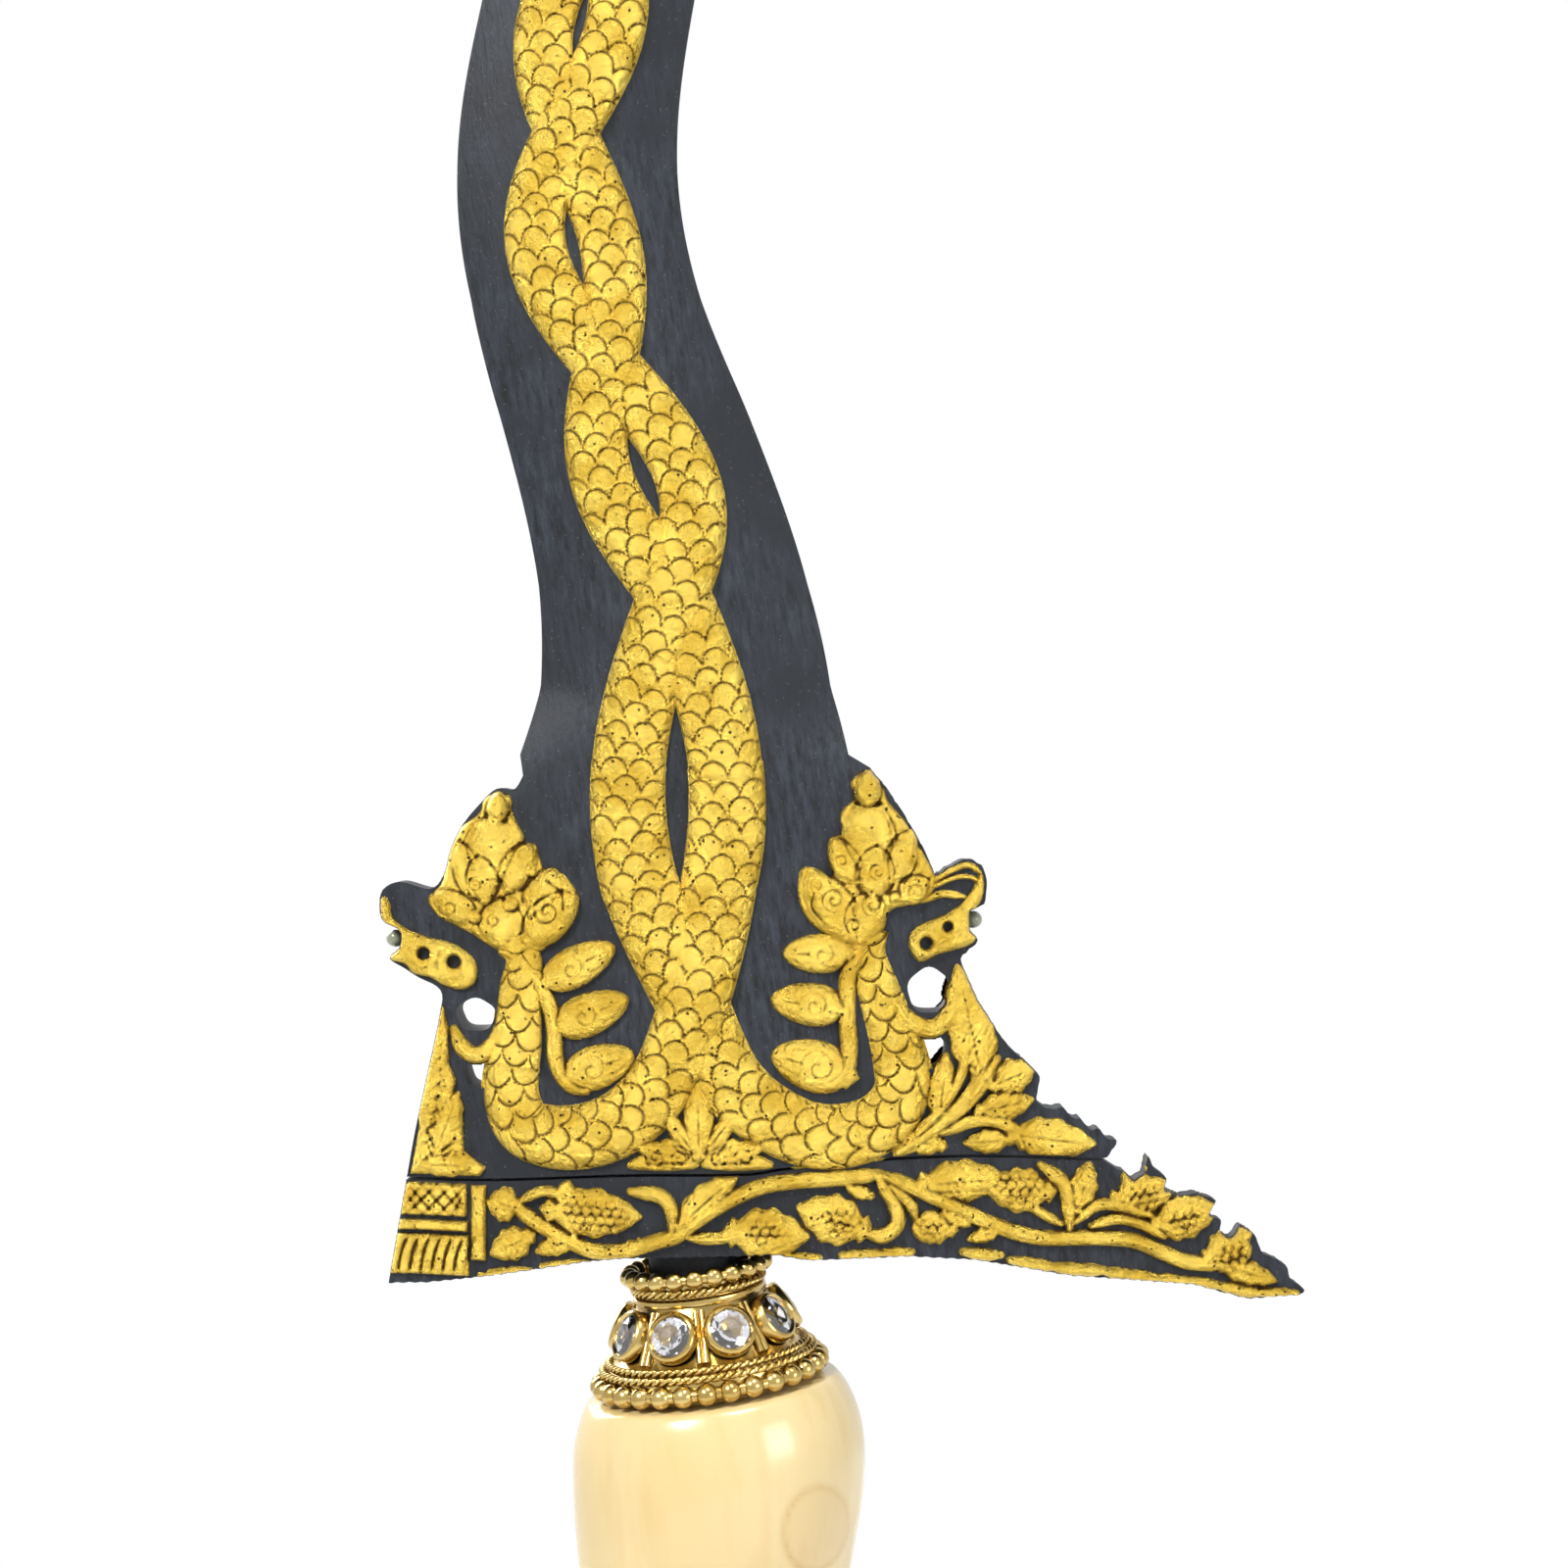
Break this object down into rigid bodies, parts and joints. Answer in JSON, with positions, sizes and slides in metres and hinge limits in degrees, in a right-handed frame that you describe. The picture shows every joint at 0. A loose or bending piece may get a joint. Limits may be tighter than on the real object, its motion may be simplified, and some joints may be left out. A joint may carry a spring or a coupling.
{
  "type": "wavy dagger",
  "caption": "Kris with a wavy iron blade, gilded serpent relief, separate ganja, jewelled ferrule and a bent bone-coloured hilt.",
  "frame": {"origin": "middle of the grip, on the tang's axis", "axes": "+Z along the tang towards the tip of the blade, -Y out of the front face, +X towards the long end of the ganja"},
  "size_m": [0.0918, 0.0288, 0.453],
  "materials": {
    "iron": "blackened forged iron, fine vertical grain, low sheen",
    "gold_leaf": "beaten gold leaf over carved relief, wrinkled, with dark pits",
    "ferrule_gold": "polished gold-coloured metal, darker in its grooves",
    "gem": "clear cut stone",
    "pearl": "small greyish pearl",
    "hilt_bone": "polished cream tooth or bone with faint grain",
    "wrap_cloth": "plain cloth wound on the tang"
  },
  "bodies": {
    "hilt": {"hilt": "hilt_bone"},
    "ferrule": {"collet_1": "ferrule_gold", "collet_2": "ferrule_gold", "collet_3": "ferrule_gold", "collet_4": "ferrule_gold", "collet_5": "ferrule_gold", "collet_6": "ferrule_gold", "collet_7": "ferrule_gold", "collet_8": "ferrule_gold", "collet_9": "ferrule_gold", "ferrule_cup": "ferrule_gold", "gem_1": "gem", "gem_2": "gem", "gem_3": "gem", "gem_4": "gem", "gem_5": "gem", "gem_6": "gem", "gem_7": "gem", "gem_8": "gem", "gem_9": "gem", "lower_bead_ring": "ferrule_gold", "lower_rope_1": "ferrule_gold", "lower_rope_2": "ferrule_gold", "upper_bead_ring": "ferrule_gold", "upper_rope": "ferrule_gold"},
    "wrap": {"tang_wrap": "wrap_cloth"},
    "blade": {"blade": "iron", "ganja": "iron", "ganja_tile_back": "gold_leaf", "ganja_tile_front": "gold_leaf", "ganja_vine_back": "gold_leaf", "ganja_vine_front": "gold_leaf", "left_crest_back": "gold_leaf", "left_crest_front": "gold_leaf", "left_mane_back": "gold_leaf", "left_mane_front": "gold_leaf", "left_muzzle_back": "gold_leaf", "left_muzzle_front": "gold_leaf", "left_panel_back": "gold_leaf", "left_panel_front": "gold_leaf", "pearl_left": "pearl", "pearl_right": "pearl", "right_crest_back": "gold_leaf", "right_crest_front": "gold_leaf", "right_flank_back": "gold_leaf", "right_flank_front": "gold_leaf", "right_mane_back": "gold_leaf", "right_mane_front": "gold_leaf", "right_muzzle_back": "gold_leaf", "right_muzzle_front": "gold_leaf", "serpents_back": "gold_leaf", "serpents_front": "gold_leaf", "tumpal_back": "gold_leaf", "tumpal_front": "gold_leaf"}
  },
  "joints": [
    {"name": "ferrule_spin", "type": "hinge", "parent": "hilt", "child": "ferrule", "pos_m": [0, 0, 0.05], "axis": [0, 0, 1], "continuous": true},
    {"name": "tang_draw", "type": "slide", "parent": "hilt", "child": "wrap", "axis": [0, 0, 1], "range_m": [0, 0.07]},
    {"name": "blade_turn", "type": "hinge", "parent": "wrap", "child": "blade", "pos_m": [0, 0, 0.02], "axis": [0, 0, 1], "continuous": true}
  ]
}
